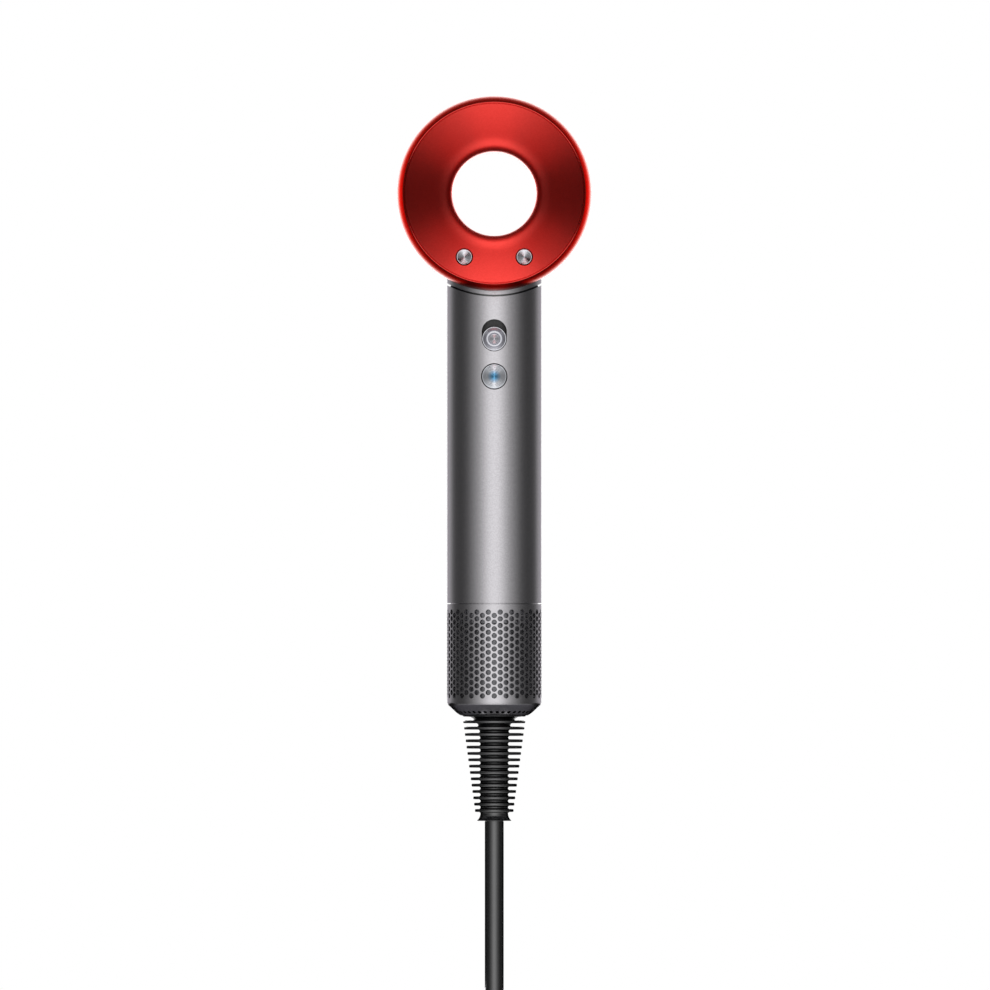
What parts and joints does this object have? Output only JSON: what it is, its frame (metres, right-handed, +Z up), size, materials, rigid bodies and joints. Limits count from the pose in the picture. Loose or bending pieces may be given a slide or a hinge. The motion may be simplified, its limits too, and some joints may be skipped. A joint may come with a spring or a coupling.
{
  "type": "hair dryer",
  "caption": "Hand-held hair dryer with a ring-shaped open-bore head, straight tube handle with sliding switch and buttons, pull-off filter cage and a tied mains cord.",
  "frame": {"origin": "on the handle's axis at the grip, 120 mm below the head's axis, where a hand holds it", "axes": "+Z up the handle to the head, +Y the way the air leaves the head, +X to the right seen from the control side"},
  "size_m": [0.078, 0.097, 0.5472],
  "materials": {
    "shell": "satin metallic paint",
    "flare": "satin metallic paint",
    "metal": "turned",
    "black": "fine matt",
    "rubber": "satin",
    "plastic": "moulded",
    "mica": "pressed mica sheet",
    "wire": "drawn",
    "board": "solder mask",
    "copper": "enamelled copper",
    "steel": "ground"
  },
  "bodies": {
    "body": {"rear_flare": "flare", "head_shell": "shell", "bore_sleeve": "flare", "inner_outlet_ring": "shell", "front_collar": "shell", "magnet_ring": "steel", "heat_shield": "mica", "heater_frame": "mica", "heater_ribbon": "wire", "thermistor": "black", "thermal_fuse": "metal", "ioniser_module": "black", "control_board": "board", "speed_switch": "black", "heat_switch": "black", "handle_tube": "shell", "neck_gasket": "rubber", "inner_duct": "plastic", "switch_board": "board", "slide_switch": "black", "cold_shot_switch": "black", "cold_shot_spring": "wire", "lead_live": "black", "lead_neutral": "black", "head_loom": "black", "motor_boot": "rubber", "motor_housing": "plastic", "stator_core": "steel", "winding_lower": "copper", "winding_upper": "copper", "bearing_lower": "steel", "bearing_upper": "steel", "diffuser": "plastic", "motor_board": "board", "fine_filter": "wire", "base_frame": "plastic", "cable_clamp": "plastic", "clamp_screw_left": "steel", "clamp_screw_right": "steel", "strain_relief": "rubber", "cord_drop": "rubber", "cord_hank": "rubber", "cord_tail": "rubber", "cord_tie": "black", "plug_body": "rubber", "plug_pin_left": "metal", "plug_pin_right": "metal"},
    "power_slide": {"power_slide": "metal", "slide_plate": "black"},
    "cold_shot_button": {"cold_shot_button": "metal"},
    "speed_button": {"speed_button": "metal"},
    "heat_button": {"heat_button": "metal"},
    "filter_cage": {"filter_cage": "shell"},
    "rotor": {"rotor_shaft": "steel", "rotor_magnet": "steel", "impeller": "metal"}
  },
  "joints": [
    {"name": "power_slide", "type": "slide", "parent": "body", "child": "power_slide", "axis": [0, 0, 1], "range_m": [0, 0.0028]},
    {"name": "cold_shot_press", "type": "slide", "parent": "body", "child": "cold_shot_button", "axis": [0, 1, 0], "range_m": [0, 0.001], "stiffness_N_per_m": 600, "springref_m": -0.001, "deforming": ["cold_shot_spring"]},
    {"name": "speed_press", "type": "slide", "parent": "body", "child": "speed_button", "axis": [0, 1, 0], "range_m": [0, 0.0005], "stiffness_N_per_m": 1000, "springref_m": -0.0005},
    {"name": "heat_press", "type": "slide", "parent": "body", "child": "heat_button", "axis": [0, 1, 0], "range_m": [0, 0.0005], "stiffness_N_per_m": 1000, "springref_m": -0.0005},
    {"name": "cage_pull", "type": "slide", "parent": "body", "child": "filter_cage", "axis": [0, 0, -1], "range_m": [0, 0.05]},
    {"name": "rotor_spin", "type": "hinge", "parent": "body", "child": "rotor", "pos_m": [0, 0, 0], "axis": [0, 0, 1], "continuous": true}
  ]
}
